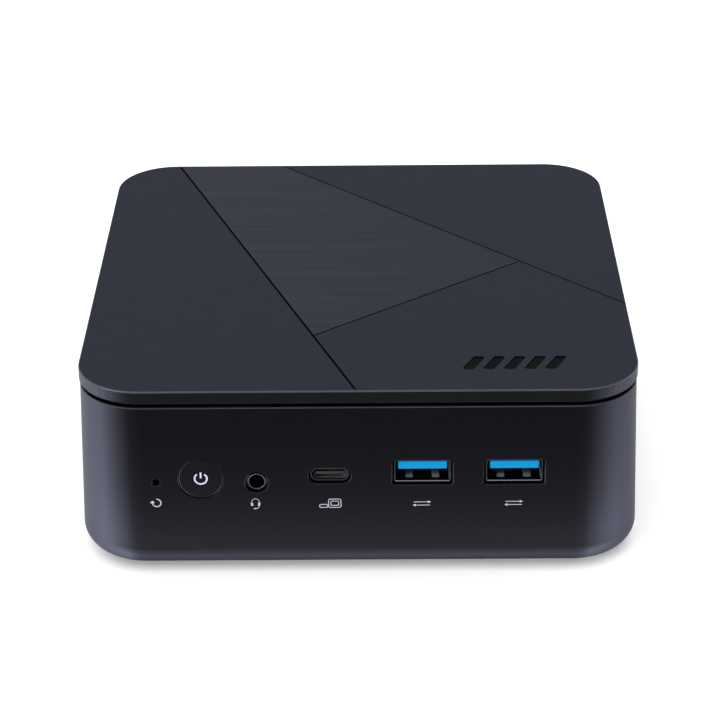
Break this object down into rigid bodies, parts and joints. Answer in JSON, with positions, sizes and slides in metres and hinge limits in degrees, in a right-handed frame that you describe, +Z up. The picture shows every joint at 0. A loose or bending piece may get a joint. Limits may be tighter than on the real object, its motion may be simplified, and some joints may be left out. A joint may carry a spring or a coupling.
{
  "type": "mini pc",
  "caption": "Square low desktop mini PC with a dark lid divided by thin grooves, front power button and ports, rear ports, and an internal blower cooler.",
  "frame": {"origin": "centre of the footprint at desk level, under the rubber feet", "axes": "+X to the right seen from the front, +Y to the rear, +Z up; the front with the power button faces -Y"},
  "size_m": [0.1322, 0.1322, 0.048],
  "materials": {
    "matte_black_lid": "fine satin grain with one brushed panel",
    "satin_black_case": "fine satin grain",
    "black_plastic": "fine matt grain",
    "button_plastic": "satin",
    "light_guide": "milky translucent",
    "foot_rubber": "matt",
    "steel_screw": "machined, black oxide",
    "brass_insert": "knurled",
    "port_steel": "nickel-plated, drawn",
    "port_blue": "moulded blue",
    "gold_contact": "gold-plated",
    "board_laminate": "solder mask",
    "chip_epoxy": "moulded",
    "copper": "bright copper",
    "aluminium": "mill finish",
    "spring_steel": "drawn wire",
    "magnet": "sintered",
    "cell_steel": "polished",
    "led": "clear"
  },
  "bodies": {
    "chassis": {"top_cover": "matte_black_lid", "top_cover_screws": "steel_screw", "body_shell": "satin_black_case", "bottom_cover": "black_plastic", "bottom_cover_screws": "steel_screw", "bracket_inserts": "brass_insert", "rubber_feet": "foot_rubber", "rear_panel": "black_plastic", "power_switch_body": "black_plastic", "power_led": "led", "reset_switch_body": "black_plastic", "usb_a_shells": "port_steel", "usb_a_tongues": "port_blue", "usb_a_contacts": "gold_contact", "usb_c_shell": "port_steel", "usb_c_tongue": "black_plastic", "usb_c_contacts": "gold_contact", "audio_jack_body": "black_plastic", "audio_jack_ring": "port_steel", "hdmi_shells": "port_steel", "hdmi_tongues": "black_plastic", "lan_jack_body": "port_steel", "lan_jack_contacts": "gold_contact", "dc_jack_body": "black_plastic", "dc_jack_pin": "port_steel", "motherboard": "board_laminate", "board_screws": "steel_screw", "board_chips": "chip_epoxy", "capacitors": "aluminium", "inductors": "chip_epoxy", "processor": "chip_epoxy", "cold_plate": "copper", "cooler_bracket": "aluminium", "cooler_screws": "steel_screw", "cooler_springs": "spring_steel", "cooler_standoffs": "brass_insert", "heat_pipes": "copper", "fin_stack": "aluminium", "fan_housing": "black_plastic", "fan_cover": "spring_steel", "fan_screws": "steel_screw", "fan_bearing": "brass_insert", "fan_stator": "copper", "memory_sockets": "black_plastic", "memory_modules": "board_laminate", "card_sockets": "black_plastic", "ssd": "board_laminate", "wifi_card": "board_laminate", "card_screws": "steel_screw", "coin_cell_holder": "black_plastic", "coin_cell": "cell_steel", "wifi_antennas": "copper", "antenna_cables": "black_plastic"},
    "power_button": {"power_button": "button_plastic", "button_light_guide": "light_guide"},
    "power_plunger": {"power_switch_plunger": "black_plastic"},
    "reset_plunger": {"reset_switch_plunger": "black_plastic"},
    "fan_rotor": {"fan_impeller": "black_plastic", "fan_magnet": "magnet", "fan_shaft": "spring_steel"}
  },
  "joints": [
    {"name": "power_button_slide", "type": "slide", "parent": "chassis", "child": "power_button", "axis": [0, 1, 0], "range_m": [0, 0.0005]},
    {"name": "power_plunger_slide", "type": "slide", "parent": "chassis", "child": "power_plunger", "axis": [0, 1, 0], "range_m": [0, 0.0005]},
    {"name": "reset_plunger_slide", "type": "slide", "parent": "chassis", "child": "reset_plunger", "axis": [0, 1, 0], "range_m": [0, 0.00025]},
    {"name": "fan_spin", "type": "hinge", "parent": "chassis", "child": "fan_rotor", "pos_m": [-0.01, 0, 0.033], "axis": [0, 0, 1], "continuous": true}
  ],
  "couplings": [
    {"joint": "power_plunger_slide", "follows": "power_button_slide", "ratio": 1}
  ]
}
